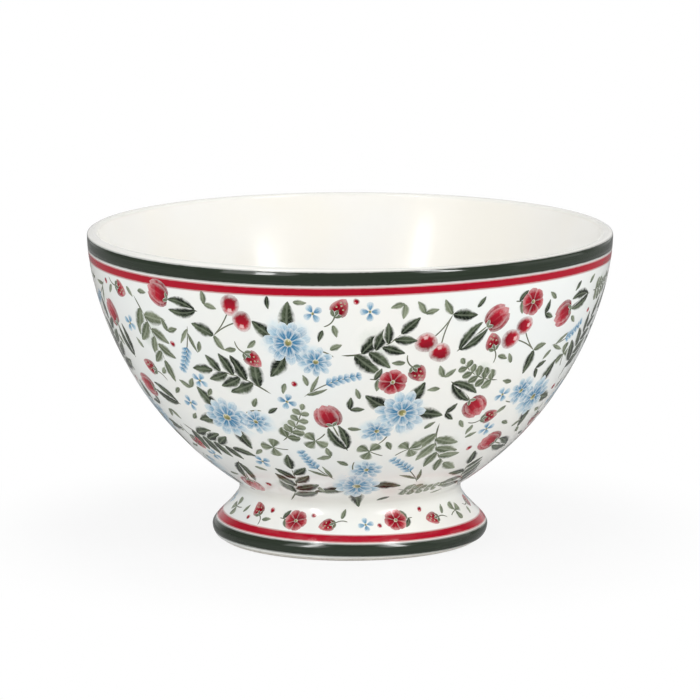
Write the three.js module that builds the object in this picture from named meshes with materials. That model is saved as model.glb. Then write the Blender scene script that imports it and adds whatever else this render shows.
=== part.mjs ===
// Footed tea bowl, in millimetres, +Z up.
// The origin is on the table plane, on the bowl's axis.
// Two clay pieces, a bowl and a hollow flared foot, are joined by a ring of slip at the waist.
// Coats of glaze cover them, and rings of colour lie sunk in the glaze at the lip and at the foot.
import * as THREE from 'three';

// Driving dimensions of the bowl
const rimRadius = 66;
const height = 78.3;
const lipThickness = 2.6;
const lipRise = 0.9;
const floorThickness = 4.6;
const wallStartAngle = 34;
const wallLowPull = 34.1;
const wallHighPull = 12.6;
const insideFloorPull = 39.6;
const insideLipPull = 29.7;
const insideLipLean = 4.75;

// Waist and joint
const waistRadius = 28;
const jointHeight = 12.8;
const slipThickness = 0.5;
const waistRise = 0.9;
const waistReach = 1.9;

// Foot
const footRadius = 34.8;
const footWidestHeight = 3.3;
const footTopPull = 3.3;
const footLowPull = 2.05;
const footEdgeReach = 2.8;
const bearingWidth = 3.6;
const footWall = 7.5;
const recessStraight = 1.6;
const recessBareHeight = 1.5;

// Glaze and colour
const glazeThickness = 0.5;
const colourDepth = 0.22;
const rimBandStart = 1.5;
const rimBandWidth = 3.1;
const rimGap = 0.8;
const rimLineWidth = 1.7;
const footLineStart = 7.85;
const footLineWidth = 1.7;
const footGap = 1.05;
const footBandWidth = 2.9;
const footGlazeHem = 0.9;

// Smoothness
const roundSegments = 48;
const lipSteps = 3;
const wallSteps = 8;
const waistSteps = 2;
const footSteps = 4;
const edgeSteps = 3;
const insideSteps = 9;
const sameSpot = 1e-6;

// Heights and radii that follow
const seatHeight = jointHeight + slipThickness;
const floorHeight = seatHeight + floorThickness;
const lipRadius = lipThickness / 2;
const crestRadius = rimRadius - lipRadius;
const lipFootHeight = height - lipRise;
const insideRadius = rimRadius - lipThickness;
const ceilingHeight = seatHeight - glazeThickness;
const recessRadius = waistRadius - footWall;
const bearingOuterRadius = footRadius - footEdgeReach;
const bearingInnerRadius = bearingOuterRadius - bearingWidth;

// A skin is a chain of curves in (radius, height).
// It gives the spot at any distance along its outer face and at any depth under that face.
class Skin {
  constructor(curvesAt, steps, edges = []) {
    this.curvesAt = curvesAt;
    this.curves = curvesAt(0);
    this.starts = [];
    this.length = 0;
    const marks = [...edges];
    this.curves.forEach((curve, i) => {
      const span = curve.getLength();
      this.starts.push(this.length);
      for (let k = 0; k <= steps[i]; k++) marks.push(this.length + (span * k) / steps[i]);
      this.length += span;
    });
    marks.sort((a, b) => a - b);
    this.marks = marks.filter((mark, i) => i === 0 || mark - marks[i - 1] > sameSpot);
  }

  spot(distance, depth) {
    let i = this.starts.length - 1;
    while (i > 0 && this.starts[i] > distance) i--;
    const along = Math.min(distance - this.starts[i], this.curves[i].getLength());
    const t = this.curves[i].getUtoTmapping(0, along);
    return this.curvesAt(depth)[i].getPoint(t);
  }

  face(from, to, depth) {
    const inner = this.marks.filter((mark) => mark > from + sameSpot && mark < to - sameSpot);
    return [from, ...inner, to].map((mark) => this.spot(mark, depth));
  }

  // Closed outline of a layer between two depths.
  layer(from, to, topDepth, bottomDepth) {
    return [...this.face(from, to, topDepth), ...this.face(from, to, bottomDepth).reverse()];
  }
}

const at = (radius, z) => new THREE.Vector2(radius, z);

// Lip: a quarter round on one side of the crest.
const lipCurve = (depth, from, to) => new THREE.EllipseCurve(
  crestRadius, lipFootHeight, lipRadius - depth, lipRise - depth, from, to, true,
);

// Outside of the bowl: lip, wall, rounded waist and the short upright over the joint.
const wallAngle = THREE.MathUtils.degToRad(wallStartAngle);
const wallRun = at(Math.cos(wallAngle), Math.sin(wallAngle));
const wallInward = at(-Math.sin(wallAngle), Math.cos(wallAngle));

function outsideCurves(depth) {
  const rim = at(rimRadius - depth, lipFootHeight);
  const underRim = at(rim.x, rim.y - wallHighPull);
  const corner = at(waistRadius, seatHeight + waistRise);
  const wallFoot = corner.clone().addScaledVector(wallRun, waistReach).addScaledVector(wallInward, depth);
  const overFoot = wallFoot.clone().addScaledVector(wallRun, wallLowPull);
  const innerCorner = at(waistRadius - depth, corner.y);
  const seat = at(waistRadius - depth, seatHeight);
  const jointEnd = at(waistRadius - depth, jointHeight);
  return [
    lipCurve(depth, Math.PI / 2, 0),
    new THREE.CubicBezierCurve(rim, underRim, overFoot, wallFoot),
    new THREE.QuadraticBezierCurve(wallFoot, innerCorner, seat),
    new THREE.LineCurve(seat, jointEnd),
  ];
}

// Inside of the bowl: one sweep up from the middle of the floor, then the lip.
function insideCurves(depth) {
  const floor = at(0, floorHeight - depth);
  const alongFloor = at(insideFloorPull, floor.y);
  const rim = at(insideRadius + depth, lipFootHeight);
  const underRim = at(rim.x - insideLipLean, rim.y - insideLipPull);
  return [
    new THREE.CubicBezierCurve(floor, alongFloor, underRim, rim),
    lipCurve(depth, Math.PI, Math.PI / 2),
  ];
}

// Outside of the foot: the flare, then the rounded edge down to the bearing ring.
function footCurves(depth) {
  const top = at(waistRadius - depth, jointHeight);
  const underTop = at(top.x, top.y - footTopPull);
  const widest = at(footRadius - depth, footWidestHeight);
  const overWidest = at(widest.x, widest.y + footLowPull);
  const edge = footEdgeReach - depth;
  return [
    new THREE.CubicBezierCurve(top, underTop, overWidest, widest),
    new THREE.EllipseCurve(
      bearingOuterRadius, footWidestHeight, edge, footWidestHeight, 0, -Math.PI / 2, true,
    ),
  ];
}

// Recess under the bowl: ceiling, short upright, then the sloped inside of the foot.
function recessCurves(depth) {
  const middle = at(0, ceilingHeight + depth);
  const corner = at(recessRadius + depth, ceilingHeight + depth);
  const uprightEnd = at(corner.x, ceilingHeight - recessStraight);
  const hem = at(bearingInnerRadius - glazeThickness + depth, recessBareHeight);
  return [
    new THREE.LineCurve(middle, corner),
    new THREE.LineCurve(corner, uprightEnd),
    new THREE.LineCurve(uprightEnd, hem),
  ];
}

// Distances of the colour along the skins
const rimBandEnd = rimBandStart + rimBandWidth;
const rimLineStart = rimBandEnd + rimGap;
const rimLineEnd = rimLineStart + rimLineWidth;
const footLineEnd = footLineStart + footLineWidth;
const footBandStart = footLineEnd + footGap;
const footBandEnd = footBandStart + footBandWidth;
const footGlazeEnd = footBandEnd + footGlazeHem;

const outside = new Skin(
  outsideCurves, [lipSteps, wallSteps, waistSteps, 1],
  [rimBandStart, rimBandEnd, rimLineStart, rimLineEnd],
);
const inside = new Skin(insideCurves, [insideSteps, lipSteps]);
const foot = new Skin(
  footCurves, [footSteps, edgeSteps],
  [footLineStart, footLineEnd, footBandStart, footBandEnd, footGlazeEnd],
);
const recess = new Skin(recessCurves, [1, 1, 1]);
const seatMark = outside.starts.at(-1);
const [, recessCorner] = recess.starts;

// Looks
const clay = new THREE.MeshStandardMaterial({ color: 0xe6dfd2, roughness: 0.85, metalness: 0 });
const slip = new THREE.MeshStandardMaterial({ color: 0xdcd4c6, roughness: 0.9, metalness: 0 });
const whiteGlaze = new THREE.MeshStandardMaterial({ color: 0xf6f5f0, roughness: 0.14, metalness: 0 });
const greenColour = new THREE.MeshStandardMaterial({ color: 0x373f36, roughness: 0.2, metalness: 0 });
const redColour = new THREE.MeshStandardMaterial({ color: 0xac142d, roughness: 0.2, metalness: 0 });

const bowl = new THREE.Group();

// Turns an outline once round the axis. A ring's outline closes on itself.
function turn(name, outline, material, ring = true) {
  const points = outline.map((point) => point.clone());
  if (THREE.ShapeUtils.area(points) < 0) points.reverse();
  if (ring) points.push(points[0].clone());
  const geometry = new THREE.LatheGeometry(points, roundSegments);
  geometry.rotateX(Math.PI / 2);
  const mesh = new THREE.Mesh(geometry, material);
  mesh.name = name;
  bowl.add(mesh);
}

// Clay bowl: from the middle of the floor over the lip and down to its flat seat.
turn('bowl_wall', [
  ...inside.face(0, inside.length, glazeThickness),
  ...outside.face(0, seatMark, glazeThickness).slice(1),
  at(0, seatHeight),
], clay, false);

// Ring of slip that joins the bowl to the foot.
turn('luting_slip', [
  at(recessRadius + glazeThickness, jointHeight),
  at(waistRadius - glazeThickness, jointHeight),
  at(waistRadius - glazeThickness, seatHeight),
  at(recessRadius + glazeThickness, seatHeight),
], slip);

// Hollow clay foot with a bare bearing ring.
turn('foot', [
  ...foot.face(0, foot.length, glazeThickness),
  at(bearingInnerRadius, 0),
  ...recess.face(recessCorner, recess.length, glazeThickness).slice(1).reverse(),
  at(recessRadius + glazeThickness, jointHeight),
], clay);

// White glaze inside the bowl, up to the crest of the lip.
turn('inside_glaze', inside.layer(0, inside.length, 0, glazeThickness), whiteGlaze, false);

// White glaze outside, with shallow seats for the colour at the lip.
turn('outside_glaze', [
  ...outside.face(0, rimBandStart, 0),
  ...outside.face(rimBandStart, rimBandEnd, colourDepth),
  ...outside.face(rimBandEnd, rimLineStart, 0),
  ...outside.face(rimLineStart, rimLineEnd, colourDepth),
  ...outside.face(rimLineEnd, outside.length, 0),
  ...outside.face(0, outside.length, glazeThickness).reverse(),
], whiteGlaze);

// White glaze on the flare, with shallow seats for the colour at the foot.
turn('foot_glaze', [
  ...foot.face(0, footLineStart, 0),
  ...foot.face(footLineStart, footLineEnd, colourDepth),
  ...foot.face(footLineEnd, footBandStart, 0),
  ...foot.face(footBandStart, footBandEnd, colourDepth),
  ...foot.face(footBandEnd, footGlazeEnd, 0),
  ...foot.face(0, footGlazeEnd, glazeThickness).reverse(),
], whiteGlaze);

// White glaze in the recess under the bowl.
turn('base_glaze', recess.layer(0, recess.length, 0, glazeThickness), whiteGlaze, false);

// Colour at the lip and at the foot.
turn('rim_band', outside.layer(rimBandStart, rimBandEnd, 0, colourDepth), greenColour);
turn('rim_line', outside.layer(rimLineStart, rimLineEnd, 0, colourDepth), redColour);
turn('foot_line', foot.layer(footLineStart, footLineEnd, 0, colourDepth), redColour);
turn('foot_band', foot.layer(footBandStart, footBandEnd, 0, colourDepth), greenColour);

export default bowl;
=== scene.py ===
import math
from functools import partial

import bpy
import numpy as np
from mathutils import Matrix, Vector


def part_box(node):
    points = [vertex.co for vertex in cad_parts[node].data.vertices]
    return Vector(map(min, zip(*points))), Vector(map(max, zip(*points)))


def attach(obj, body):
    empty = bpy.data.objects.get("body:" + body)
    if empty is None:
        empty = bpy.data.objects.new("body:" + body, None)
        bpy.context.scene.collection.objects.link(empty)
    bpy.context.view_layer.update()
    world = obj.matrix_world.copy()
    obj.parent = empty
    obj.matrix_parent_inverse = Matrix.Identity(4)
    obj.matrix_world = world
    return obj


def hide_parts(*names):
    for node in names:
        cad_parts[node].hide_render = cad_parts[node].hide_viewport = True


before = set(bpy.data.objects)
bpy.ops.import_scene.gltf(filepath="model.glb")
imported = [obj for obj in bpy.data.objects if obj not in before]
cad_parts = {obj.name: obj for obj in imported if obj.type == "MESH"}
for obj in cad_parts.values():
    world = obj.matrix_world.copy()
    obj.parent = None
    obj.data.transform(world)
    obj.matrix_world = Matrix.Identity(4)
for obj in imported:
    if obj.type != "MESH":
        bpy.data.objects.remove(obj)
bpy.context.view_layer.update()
mm = 0.001
print("frame loaded")


# sizes in millimetres, from the frame where it has them
def widest(node):
    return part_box(node)[1][0] / mm


def lowest(node):
    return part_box(node)[0][2] / mm


def highest(node):
    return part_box(node)[1][2] / mm


bowlForm = {
    "glaze": 0.5,  # thickness of a coat
    "lipThickness": 2.6,
    "lipRise": 0.9,  # height of the rounded lip
    "wallAngle": 34,  # of the wall just above the waist, in degrees
    "wallLowPull": 34.1, "wallHighPull": 12.6,  # handles of the wall's curve
    "insideFloorPull": 39.6, "insideLipPull": 29.7, "insideLipLean": 4.75,  # and of the inside's
    "waistRise": 0.9, "waistReach": 1.9,
    "footTopPull": 3.3, "footLowPull": 2.05,
    "footWidestHeight": 3.3, "footEdgeReach": 2.8,
    "footWall": 7.5, "bearingWidth": 3.6, "bearingRound": 0.3,
    "recessStraight": 1.6, "recessRound": 1.2, "recessBareHeight": 1.5,
    "recessTurn": 0.1,  # share of the slope that is rounded
    "footGlazeEnd": 14.4,  # along the foot from the joint
    "hemSlope": 0.35,  # how much sooner its hidden face ends
    "seam": 0.02,  # heights nearer than this are one
    "segments": 256,
    "smoothAngle": 40,  # sharper edges stay sharp, in degrees
}
# points along each run of a profile; back is the hidden face of a coat, skin is what paint lies on
steps = {"wall": 90, "back": 40, "skin": 400, "lip": 28, "waist": 14, "joint": 3, "foot": 50, "edge": 30,
         "ceiling": 40, "corner": 9, "turn": 8, "slope": 20}
rimRadius = widest("rim_band")
bowlHeight = highest("inside_glaze")
jointHeight = highest("foot")
seatHeight = highest("luting_slip")
waistRadius = widest("luting_slip") + bowlForm["glaze"]
footRadius = widest("foot_band")
floorHeight = lowest("inside_glaze") + bowlForm["glaze"]
lipRadius = bowlForm["lipThickness"] / 2
crestRadius = rimRadius - lipRadius
lipFoot = bowlHeight - bowlForm["lipRise"]
ceilingHeight = seatHeight - bowlForm["glaze"]
recessRadius = waistRadius - bowlForm["footWall"]
bearingOuter = footRadius - bowlForm["footEdgeReach"]
bearingInner = bearingOuter - bowlForm["bearingWidth"]


# Bernstein sum of the control points, at even steps of t from 0 to 1
def bezier(points, count):
    t = np.linspace(0, 1, count)[:, None]
    n = len(points) - 1
    terms = [math.comb(n, k) * t**k * (1 - t) ** (n - k) * np.array(p, float) for k, p in enumerate(points)]
    return sum(terms)


# ellipse: centre plus radii times (cos, sin), between two angles in degrees
def ellipse(centre, radii, start, end, count):
    a = np.radians(np.linspace(start, end, count))
    return np.stack([centre[0] + radii[0] * np.cos(a), centre[1] + radii[1] * np.sin(a)], -1)


# runs of points end to end, each starting where the last one ended
def joined(*runs):
    return np.vstack([runs[0]] + [run[1:] for run in runs[1:]])


# outside of the bowl as (radius, height), crest of the lip to the joint, set in by depth
def outsideLine(depth=0.0, wallCount=steps["wall"]):
    f = bowlForm
    a = math.radians(f["wallAngle"])
    run = np.array([math.cos(a), math.sin(a)])
    inward = np.array([-math.sin(a), math.cos(a)])
    rim = np.array([rimRadius - depth, lipFoot])
    corner = np.array([waistRadius, seatHeight + f["waistRise"]])
    wallFoot = corner + run * f["waistReach"] + inward * depth
    seat = np.array([waistRadius - depth, seatHeight])
    return joined(
        ellipse((crestRadius, lipFoot), (lipRadius - depth, f["lipRise"] - depth), 90, 0, steps["lip"]),
        bezier([rim, rim - [0, f["wallHighPull"]], wallFoot + run * f["wallLowPull"], wallFoot], wallCount),
        bezier([wallFoot, (seat[0], corner[1]), seat], steps["waist"]),
        bezier([seat, (seat[0], jointHeight)], steps["joint"]),
    )


# inside of the bowl, middle of the floor to the crest of the lip
def insideLine(depth=0.0, wallCount=steps["wall"]):
    f = bowlForm
    floor = np.array([0.0, floorHeight - depth])
    radii = (lipRadius - depth, f["lipRise"] - depth)
    lean = math.atan2(f["insideLipLean"] * radii[1], f["insideLipPull"] * radii[0])
    lip = ellipse((crestRadius, lipFoot), radii, 180 - math.degrees(lean), 90, steps["lip"])
    underRim = lip[0] - [f["insideLipLean"], f["insideLipPull"]]
    return joined(bezier([floor, floor + [f["insideFloorPull"], 0], underRim, lip[0]], wallCount), lip)


# outside of the foot, from the joint down the flare and round the edge to the bearing ring
def footLine(depth=0.0):
    f = bowlForm
    top = np.array([waistRadius - depth, jointHeight])
    wide = np.array([footRadius - depth, f["footWidestHeight"]])
    return joined(
        bezier([top, top - [0, f["footTopPull"]], wide + [0, f["footLowPull"]], wide], steps["foot"]),
        ellipse((bearingOuter, wide[1]), (f["footEdgeReach"] - depth, wide[1]), 0, -90, steps["edge"]),
    )


# recess under the bowl, middle of its ceiling to the hem of the glaze inside the foot
def recessLine(depth=0.0):
    f = bowlForm
    corner = np.array([recessRadius + depth, ceilingHeight + depth])
    before, after = corner - [f["recessRound"], 0], corner - [0, f["recessRound"]]
    upright = np.array([corner[0], ceilingHeight - f["recessStraight"]])
    hem = np.array([bearingInner - f["glaze"] + depth, f["recessBareHeight"]])
    turnEnd = upright + (hem - upright) * f["recessTurn"]
    return joined(
        bezier([(0.0, corner[1]), before], steps["ceiling"]),
        bezier([before, corner, after], steps["corner"]),
        bezier([after, upright, turnEnd], steps["turn"]),
        bezier([turnEnd, hem], steps["slope"]),
    )


# table of a line: distance along it, radius, height and outward normal
def skinOf(line):
    step = np.hypot(*np.diff(line, axis=0).T)
    s = np.concatenate([[0.0], np.cumsum(step)])
    d = np.gradient(line, s, axis=0)
    d /= np.hypot(d[:, 0], d[:, 1])[:, None]
    return np.column_stack([s, line, -d[:, 1], d[:, 0]])


# line up to a distance along it
def cutLine(line, end):
    s = skinOf(line)[:, 0]
    nearest = 0.05  # closer points would make slivers
    last = [np.interp(end, s, line[:, 0]), np.interp(end, s, line[:, 1])]
    return np.vstack([line[s < end - nearest], last])


def newObject(name, data):
    thing = bpy.data.objects.new(name, data)
    bpy.context.collection.objects.link(thing)
    return thing


# closed shells: grids of rows by loop, the loop closed on itself; the rows end on a pole each,
# or close on themselves where there are no poles; faces look along row step times loop step
def shells(name, grid, poles=None, normals=None, stroke=None):
    n, rows, loop, _ = grid.shape
    j, k = np.arange(rows if poles is None else rows - 1)[:, None, None], np.arange(loop)
    row, column = j + [0, 1, 1, 0], k[:, None] + [0, 0, 1, 1]
    quads = (row % rows * loop + column % loop).reshape(-1, 4)
    quadMap = np.stack(np.broadcast_arrays((row + 0.5) / (rows + 1), column / loop), -1).reshape(-1, 4, 2)
    fans, fanMap = np.zeros((0, 3), int), np.zeros((0, 3, 2))
    points = grid.reshape(n, -1, 3)
    if poles is not None:
        first, last, kNext = 0.5 + 0 * k, rows - 0.5 + 0 * k, (k + 1) % loop
        lastRow, pole = (rows - 1) * loop, rows * loop + 0 * k
        fans = np.vstack([np.stack([pole, k, kNext], -1),
                          np.stack([lastRow + k, pole + 1, lastRow + kNext], -1)])
        fanMap = np.vstack([np.stack([0 * first, k + 0.5, first, k, first, k + 1], -1),
                            np.stack([last, k, 0 * last + rows + 1, k + 0.5, last, k + 1], -1)])
        fanMap = fanMap.reshape(-1, 3, 2) / [rows + 1, loop]
        points = np.concatenate([points, poles], 1)
    size = points.shape[1]
    shift = np.arange(n)[:, None, None] * size
    corners = np.concatenate([(quads + shift).ravel(), (fans + shift).ravel()])
    sides = np.concatenate([np.full(n * len(quads), 4), np.full(n * len(fans), 3)])
    mesh = bpy.data.meshes.new(name)
    mesh.vertices.add(n * size)
    mesh.vertices.foreach_set("co", (points * mm).astype(np.float32).ravel())
    mesh.loops.add(len(corners))
    mesh.loops.foreach_set("vertex_index", corners.astype(np.int32))
    mesh.polygons.add(len(sides))
    starts = np.concatenate([[0], np.cumsum(sides)[:-1]])
    mesh.polygons.foreach_set("loop_start", starts.astype(np.int32))
    mesh.update(calc_edges=True)
    mesh.polygons.foreach_set("use_smooth", np.ones(len(sides), bool))
    across = math.ceil(math.sqrt(n))  # one cell of the bake map for each shell
    cell = np.stack([np.arange(n) % across, np.arange(n) // across], -1)[:, None, None, :]
    inset = 0.0 if n == 1 else 0.06  # clear edge of a cell
    maps = [(cell + inset + (1 - 2 * inset) * part).reshape(-1, 2) / across for part in (quadMap, fanMap)]
    bakeMap = np.concatenate(maps).astype(np.float32)
    mesh.uv_layers.new(name="OFBake").data.foreach_set("uv", bakeMap.ravel())
    if stroke is not None:
        data = mesh.attributes.new("stroke", "FLOAT_VECTOR", "POINT").data
        data.foreach_set("vector", stroke.astype(np.float32).ravel())
    if normals is not None:
        mesh.normals_split_custom_set_from_vertices(normals.reshape(-1, 3).tolist())
    else:
        mesh.set_sharp_from_angle(angle=math.radians(bowlForm["smoothAngle"]))
    return newObject(name, mesh)


# spots round the axis: (radius sin a, -radius cos a, height); a = 0 faces the camera
def around(a, r, z):
    return np.stack([r * np.sin(a), -r * np.cos(a), z + 0 * a], -1)


# profile carried round the axis
def turned(name, profile, ring=True):
    a = np.arange(bowlForm["segments"]) * 2 * math.pi / bowlForm["segments"]
    body = profile if ring else profile[1:-1]
    grid = around(a, body[:, 0, None], body[:, 1, None])[None]
    poles = None if ring else np.array([[[0, 0, profile[0, 1]], [0, 0, profile[-1, 1]]]], float)
    return shells(name, grid, poles)


# sRGB 0 to 255 as linear colour
def ink(colour):
    c = np.array(colour) / 255
    return (*np.where(c <= 0.04045, c / 12.92, ((c + 0.055) / 1.055) ** 2.4).tolist(), 1.0)


# inputs of a node, linked or set; an input given as _2 is by number.
# helpers that are given a socket take the tree from it
def feed(node, **inputs):
    for key, value in inputs.items():
        socket = node.inputs[int(key[1:])] if key[0] == "_" else node.inputs[key.replace("_", " ")]
        if isinstance(value, bpy.types.NodeSocket):
            node.id_data.links.new(value, socket)
        else:
            socket.default_value = value
    return node


# shader node of a kind, named without its prefix
def addNode(tree, kind, settings=None, **inputs):
    node = tree.nodes.new("ShaderNode" + kind)
    for key, value in (settings or {}).items():
        setattr(node, key, value)
    return feed(node, **inputs)


def maths(operation, a, b=0.0, clamp=False):
    settings = {"operation": operation, "use_clamp": clamp}
    return addNode(a.id_data, "Math", settings, _0=a, _1=b).outputs[0]


plus, minus, times, larger, absolute, zigzag = (
    partial(maths, operation)
    for operation in ("ADD", "SUBTRACT", "MULTIPLY", "MAXIMUM", "ABSOLUTE", "PINGPONG")
)


# smooth step from one range to another
def span(value, low, high, toLow=0.0, toHigh=1.0):
    node = addNode(value.id_data, "MapRange", {"interpolation_type": "SMOOTHSTEP"}, Value=value,
                   From_Min=low, From_Max=high, To_Min=toLow, To_Max=toHigh)
    return node.outputs["Result"]


def mixed(factor, a, b):
    node = addNode(factor.id_data, "Mix", {"data_type": "RGBA"}, _0=factor, _6=a, _7=b)
    return node.outputs[2]


def noise(vector, scale, detail=2.0, rough=0.5):
    node = addNode(vector.id_data, "TexNoise", Vector=vector, Scale=scale, Detail=detail,
                   Roughness=rough)
    return node.outputs["Fac"]


def objectPlace(tree):
    return addNode(tree, "TexCoord").outputs["Object"]


# noise about zero over the piece
def uneven(tree, scale, detail=2.0, rough=0.5):
    return minus(noise(objectPlace(tree), scale, detail, rough), 0.5)


# normal of a bumped face, its height in millimetres
def bumped(height, strength, distance, **normal):
    node = addNode(height.id_data, "Bump", Strength=strength, Distance=distance * mm,
                   Height=height, **normal)
    return node.outputs["Normal"]


# group with these inputs, colours given as tuples, and what comes in through them
def newGroup(name, **inputs):
    group = bpy.data.node_groups.new(name, "ShaderNodeTree")
    for key, value in inputs.items():
        kind = "NodeSocketColor" if isinstance(value, tuple) else "NodeSocketFloat"
        group.interface.new_socket(name=key, in_out="INPUT", socket_type=kind).default_value = value
    return group, group.nodes.new("NodeGroupInput").outputs


def giveOut(group, **outputs):
    for key, value in outputs.items():
        kind = "NodeSocketColor" if value.type == "RGBA" else "NodeSocketFloat"
        group.interface.new_socket(name=key, in_out="OUTPUT", socket_type=kind)
    feed(group.nodes.new("NodeGroupOutput"), **outputs)
    return group


def useGroup(tree, group, **inputs):
    return addNode(tree, "Group", {"node_tree": group}, **inputs)


whites = {
    # cool and warm white, gloss, mirror
    "whiteGlazeOutside": ((240, 242, 239), (243, 242, 236), 0.11, 0.5),
    "whiteGlazeInside": ((242, 241, 238), (243, 240, 232), 0.16, 0.2),
    "pool": (222, 221, 212),  # where the glaze gathers at the waist
    "lip": (238, 236, 230),  # where it runs thin over the lip
}
glazePlan = {
    "drift": 22, "ripple": 55, "wander": 420, "pits": 900,  # noise scales: tint, ripple, gloss and pits
    "tintEdges": (0.35, 0.65),  # noise that gives the cool and the warm white
    "wanderShare": 0.05, "pitShare": 0.05,
    "poolRise": 0.3, "poolReach": 2.4,  # middle of the pool above the seat, and its reach, in millimetres
    "poolShare": 0.5,
    "lipFrom": -0.2, "lipTo": 0.4,  # where the lip's tint begins and is full, from the foot of the lip
    "bump": 0.1, "bumpHeight": 0.4,
}


# white glaze: slow drift between a cool and a warm white, greyer at the lip and where it pools
# at the waist, a faint ripple with fine pitting, and gloss that wanders a little
def makeGlazeSkin():
    plan = glazePlan
    cool, warm, gloss, _ = whites["whiteGlazeOutside"]
    group, given = newGroup("glazeSkin", Cool=ink(cool), Warm=ink(warm), Gloss=gloss)
    place = objectPlace(group)
    z = addNode(group, "SeparateXYZ", Vector=place).outputs["Z"]
    drift = span(noise(place, plan["drift"], 3), *plan["tintEdges"])
    white = mixed(drift, given["Cool"], given["Warm"])
    fromWaist = absolute(minus(z, (seatHeight + plan["poolRise"]) * mm))
    pool = span(fromWaist, 0.0, plan["poolReach"] * mm, plan["poolShare"], 0.0)
    pooled = mixed(pool, white, ink(whites["pool"]))
    overLip = span(z, (lipFoot + plan["lipFrom"]) * mm, (lipFoot + plan["lipTo"]) * mm)
    wander = times(uneven(group, plan["wander"]), plan["wanderShare"])
    pits = times(noise(place, plan["pits"]), plan["pitShare"])
    return giveOut(group, Tint=mixed(overLip, pooled, ink(whites["lip"])),
                   Roughness=plus(wander, given["Gloss"]),
                   Height=plus(noise(place, plan["ripple"], 1), pits))


glazeSkin = makeGlazeSkin()
brushPlan = {"grainScale": 480, "edgeScale": 900, "ragged": 0.7, "fade": (0.5, 1.05)}


# brush colour: deep to pale along the stroke and a little across it, broken by grain
# and the stroke's own tone
def makeBrushWork():
    group, given = newGroup("brushWork", Deep=(0, 0, 0, 1), Pale=(1, 1, 1, 1), Along=0.0, Across=0.0,
                            Tone=0.0, Reach=1.0, Lean=0.2, Grain=0.7)
    grain = uneven(group, brushPlan["grainScale"], 4, 0.65)
    total = given["Tone"]
    for value, weight in ((given["Along"], "Reach"), (given["Across"], "Lean"), (grain, "Grain")):
        total = plus(total, times(value, given[weight]))
    share = larger(maths("MINIMUM", total, 1.0), 0.0)
    return giveOut(group, Colour=mixed(share, given["Deep"], given["Pale"]))


brushWork = makeBrushWork()


# cover of thin paint: full in the middle, thinner and broken towards the edge of the stroke
def makeSoftEdge():
    plan = brushPlan
    group, given = newGroup("softEdge", Outward=0.0, Thin=0.3)
    ragged = times(uneven(group, plan["edgeScale"], 3, 0.6), plan["ragged"])
    edge = plus(given["Outward"], ragged)
    return giveOut(group, Cover=span(edge, *plan["fade"], 1.0, given["Thin"]))


softEdge = makeSoftEdge()


def newMaterial(name):
    material = bpy.data.materials.new(name)
    material.use_nodes = True
    return material, material.node_tree, material.node_tree.nodes["Principled BSDF"]


# every fired colour shares the glaze's ripple and gloss
def glazedOver(shader, colour, skin, mirror=0.4):
    ripple = bumped(skin.outputs["Height"], glazePlan["bump"], glazePlan["bumpHeight"])
    feed(shader, Base_Color=colour, Roughness=skin.outputs["Roughness"], Normal=ripple,
         Specular_IOR_Level=mirror)
    return ripple


def whiteGlaze(name):
    cool, warm, gloss, mirror = whites[name]
    material, tree, shader = newMaterial(name)
    skin = useGroup(tree, glazeSkin, Cool=ink(cool), Warm=ink(warm), Gloss=gloss)
    glazedOver(shader, skin.outputs["Tint"], skin, mirror)
    return material


clays = {
    # base and flecks
    "bareClay": ((233, 229, 220), (160, 150, 134)),
    "firedSlip": ((214, 205, 190), (140, 128, 110)),
    "shade": 0.93,  # of the darker sand
    "sandScale": 900,
    "sand": (0.3, 0.7),  # noise that gives the darker and the paler sand
    "fleckScale": 2600,
    "flecks": (0.66, 0.74),
    "fleckShare": 0.4,
    "rough": (0.2, 0.8, 0.7, 0.92),  # from noise to roughness
    "bump": 0.35,
    "bumpHeight": 0.3,
}


# bare fired clay: warm grey-white with sandy grain and dark flecks
def firedClay(name):
    base, fleck = clays[name]
    material, tree, shader = newMaterial(name)
    place = objectPlace(tree)
    sand = noise(place, clays["sandScale"], 4, 0.65)
    shade = tuple(clays["shade"] * v for v in base)
    pale = mixed(span(sand, *clays["sand"]), ink(shade), ink(base))
    flecks = span(noise(place, clays["fleckScale"], 1), *clays["flecks"], 0.0, clays["fleckShare"])
    feed(shader, Base_Color=mixed(flecks, pale, ink(fleck)),
         Roughness=span(sand, *clays["rough"]),
         Normal=bumped(sand, clays["bump"], clays["bumpHeight"]))
    return material


# painted material: its tree, its shader, the glaze under the paint and the parts of its stroke:
# along, across and tone, or for a band turn, distance and edge
def paintOn(name, **skinInputs):
    material, tree, shader = newMaterial(name)
    stroke = addNode(tree, "Attribute", {"attribute_name": "stroke"}).outputs["Vector"]
    parts = addNode(tree, "SeparateXYZ", Vector=stroke).outputs
    return material, tree, shader, useGroup(tree, glazeSkin, **skinInputs), tuple(parts)


# paint over the white of the glaze by its cover
def overWhite(shader, skin, cover, colour, **mirror):
    return glazedOver(shader, mixed(cover, skin.outputs["Tint"], colour), skin, **mirror)


bandInks = {
    "bleed": 0.6,  # how far the colour runs out into the white
    "mirror": 0.5,
    "streaks": (0.35, 0.75),  # noise where they begin and are full
    "streakShare": 0.3,
    "raggedScale": 700,
    "ragged": 0.3,  # of the edge, as a share of the bleed
    "haloFull": -0.3,  # where the halo is full and the fade begins, in the same share
    "fadeFrom": -0.4,
    "beadEdge": (-0.1, 0.9),
    # deep and thin colour, halo, height of the bead, gloss
    "greenBand": ((42, 50, 40), (64, 74, 61), 0.5, 0.25, 0.07),
    "greenFoot": ((42, 50, 40), (64, 74, 61), 0.7, 0.04, 0.13),
    "redLine": ((171, 5, 36), (183, 24, 50), 0.7, 0.02, 0.1),
}


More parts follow.
